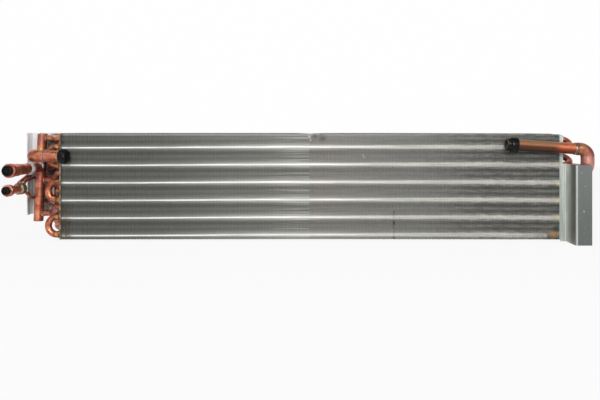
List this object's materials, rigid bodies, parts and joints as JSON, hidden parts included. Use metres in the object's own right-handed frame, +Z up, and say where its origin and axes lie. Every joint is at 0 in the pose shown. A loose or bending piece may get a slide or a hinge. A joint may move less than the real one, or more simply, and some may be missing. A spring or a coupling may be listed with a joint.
{
  "type": "evaporator with heater core",
  "caption": "Long fin-and-tube evaporator coil with a heater row, copper headers and distributor on the left, folded mounting brackets at both ends.",
  "frame": {"origin": "middle of the fin pack's bottom face, the face it stands on", "axes": "+X along the tubes towards the right end, +Y from the front face to the rear, +Z up"},
  "size_m": [0.8335, 0.1247, 0.1558],
  "materials": {
    "fins": "bare thin plates, dull",
    "galvanised": "galvanised sheet, satin",
    "copper": "bare copper tube, heat-tinted at the brazed joints",
    "distributor_brass": "turned brass, dull",
    "cap_plastic": "soft black plastic"
  },
  "bodies": {
    "root": {"fin_pack": "fins", "tube_sheet_left": "galvanised", "tube_sheet_right": "galvanised", "bracket_left": "galvanised", "bracket_right": "galvanised", "distributor": "distributor_brass", "heater_cap_left": "cap_plastic", "heater_cap_right": "cap_plastic", "heater_plug_right": "cap_plastic", "suction_plug": "cap_plastic", "liquid_plug": "cap_plastic", "evaporator_hairpin_1": "copper", "evaporator_hairpin_2": "copper", "evaporator_hairpin_3": "copper", "evaporator_hairpin_4": "copper", "evaporator_hairpin_5": "copper", "evaporator_hairpin_6": "copper", "rear_hairpin_1": "copper", "rear_hairpin_2": "copper", "rear_hairpin_3": "copper", "front_return_bend_1": "copper", "front_return_bend_2": "copper", "front_return_bend_3": "copper", "cross_return_bend_1": "copper", "cross_return_bend_2": "copper", "cross_return_bend_3": "copper", "heater_hairpin_1": "copper", "heater_hairpin_2": "copper", "heater_tube_3": "copper", "heater_tube_4": "copper", "heater_return_bend_1": "copper", "heater_return_bend_2": "copper", "heater_header_left": "copper", "heater_leg_left": "copper", "heater_elbow_left": "copper", "heater_pipe_left": "copper", "heater_header_right": "copper", "heater_leg_right": "copper", "heater_elbow_lower_right": "copper", "heater_nipple_right": "copper", "heater_elbow_upper_right": "copper", "heater_pipe_right": "copper", "suction_header": "copper", "suction_pipe": "copper", "suction_sleeve": "copper", "liquid_inlet": "copper", "suction_branch_1": "copper", "suction_branch_2": "copper", "suction_branch_3": "copper", "capillary_1": "copper", "capillary_2": "copper", "capillary_3": "copper"}
  },
  "joints": []
}
